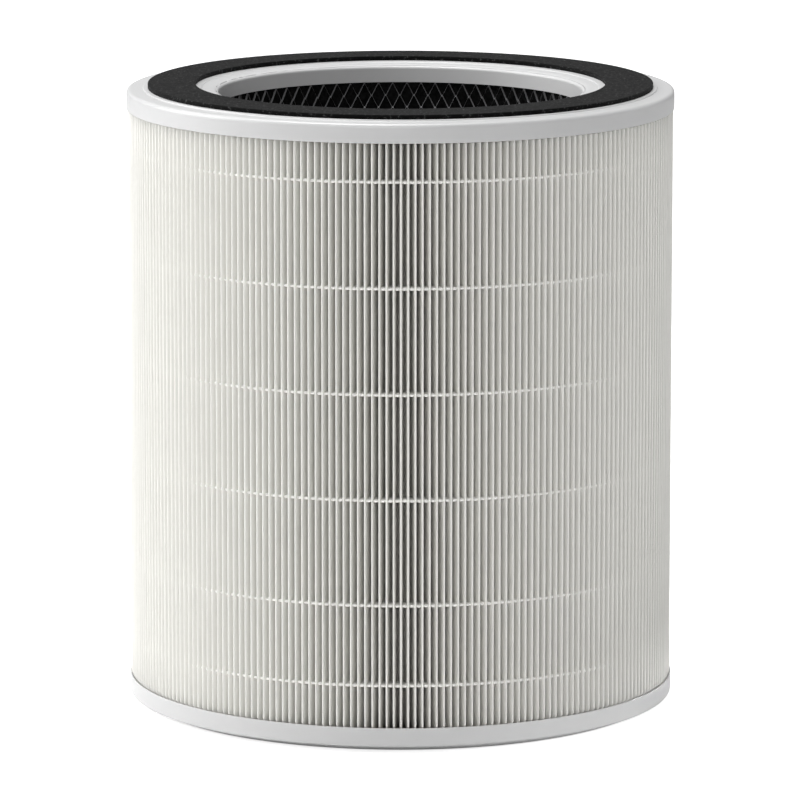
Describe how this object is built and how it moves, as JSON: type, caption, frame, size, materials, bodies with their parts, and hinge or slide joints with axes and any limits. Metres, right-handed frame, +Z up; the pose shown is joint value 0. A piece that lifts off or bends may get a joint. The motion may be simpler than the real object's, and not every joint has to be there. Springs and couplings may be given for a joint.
{
  "type": "air purifier filter",
  "caption": "Round pleated filter cartridge with a carbon layer on a metal mesh tube, a closed bottom cap, and a top cap with a foam gasket round its open collar.",
  "frame": {"origin": "centre of the underside, on the surface that the cartridge stands on", "axes": "+Z up along the cartridge's own axis, out through the open collar; X and Y across it, -Y towards the viewer of the picture"},
  "size_m": [0.23, 0.23, 0.2625],
  "materials": {
    "cap_plastic": "moulded, satin",
    "gasket_foam": "matt closed-cell foam",
    "filter_sheet": "matt non-woven sheet",
    "melt_adhesive": "set hot melt",
    "carbon": "matt, carbon grains in a net",
    "mesh_metal": "black coat, satin"
  },
  "bodies": {
    "root": {"top_cap": "cap_plastic", "bottom_cap": "cap_plastic", "foam_gasket": "gasket_foam", "pleated_media": "filter_sheet", "bead_row_1": "melt_adhesive", "bead_row_2": "melt_adhesive", "bead_row_3": "melt_adhesive", "bead_row_4": "melt_adhesive", "bead_row_5": "melt_adhesive", "bead_row_6": "melt_adhesive", "carbon_layer": "carbon", "inner_mesh": "mesh_metal"}
  },
  "joints": []
}
